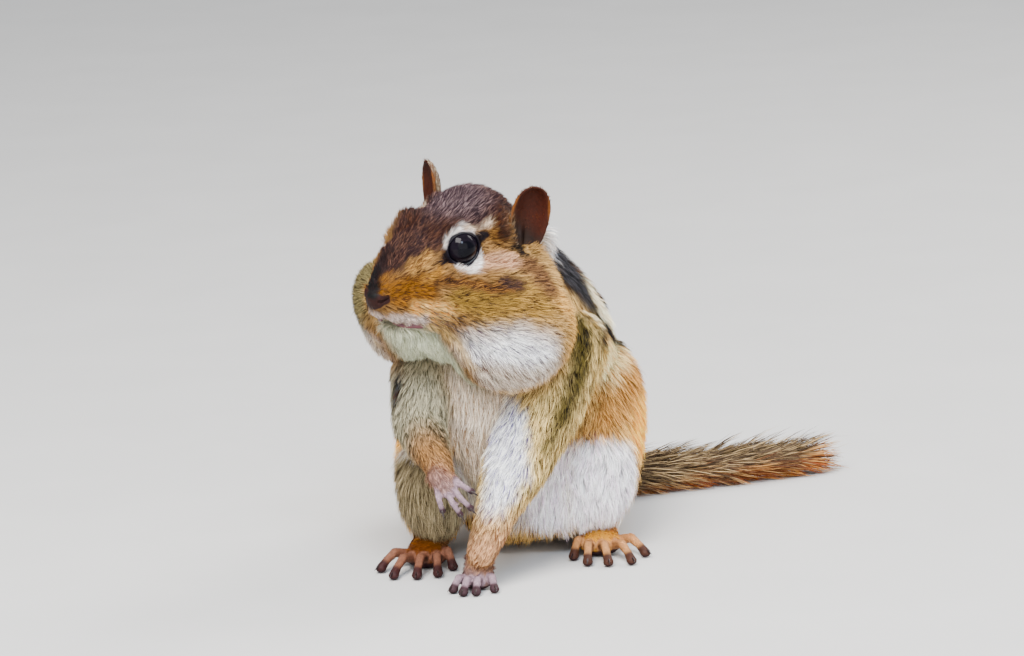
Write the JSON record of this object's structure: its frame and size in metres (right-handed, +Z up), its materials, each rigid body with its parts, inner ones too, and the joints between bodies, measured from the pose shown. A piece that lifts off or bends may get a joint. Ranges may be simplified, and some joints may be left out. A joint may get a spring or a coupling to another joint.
{
  "type": "chipmunk model",
  "caption": "Life-size seated chipmunk with full cheek pouches, striped back and one forepaw lifted, as a still display model.",
  "frame": {"origin": "on the floor, under the middle of the whole model's box", "axes": "+Z up from the floor; -Y is the way the seated body faces; +X is the animal's left, the side that the tail lies on"},
  "size_m": [0.1186, 0.1196, 0.0949],
  "materials": {
    "body_coat": "short soft fur, brown with pale and black stripes",
    "leg_coat": "short soft fur, buff to white",
    "tail_coat": "longer dark hair with pale tips",
    "paw": "thin short hair over pinkish skin, with dark claws",
    "ear": "thin skin with very short hair",
    "eye": "glossy black"
  },
  "bodies": {
    "root": {"head": "body_coat", "neck": "body_coat", "chest": "body_coat", "rump": "body_coat", "foreleg_left": "leg_coat", "foreleg_right": "leg_coat", "forepaw_left": "paw", "forepaw_right": "paw", "hindleg_left": "leg_coat", "hindleg_right": "leg_coat", "hindfoot_left": "paw", "hindfoot_right": "paw", "ear_left": "ear", "ear_right": "ear", "eye_left": "eye", "eye_right": "eye", "tail_base": "tail_coat", "tail_middle": "tail_coat", "tail_tip": "tail_coat"}
  },
  "joints": []
}
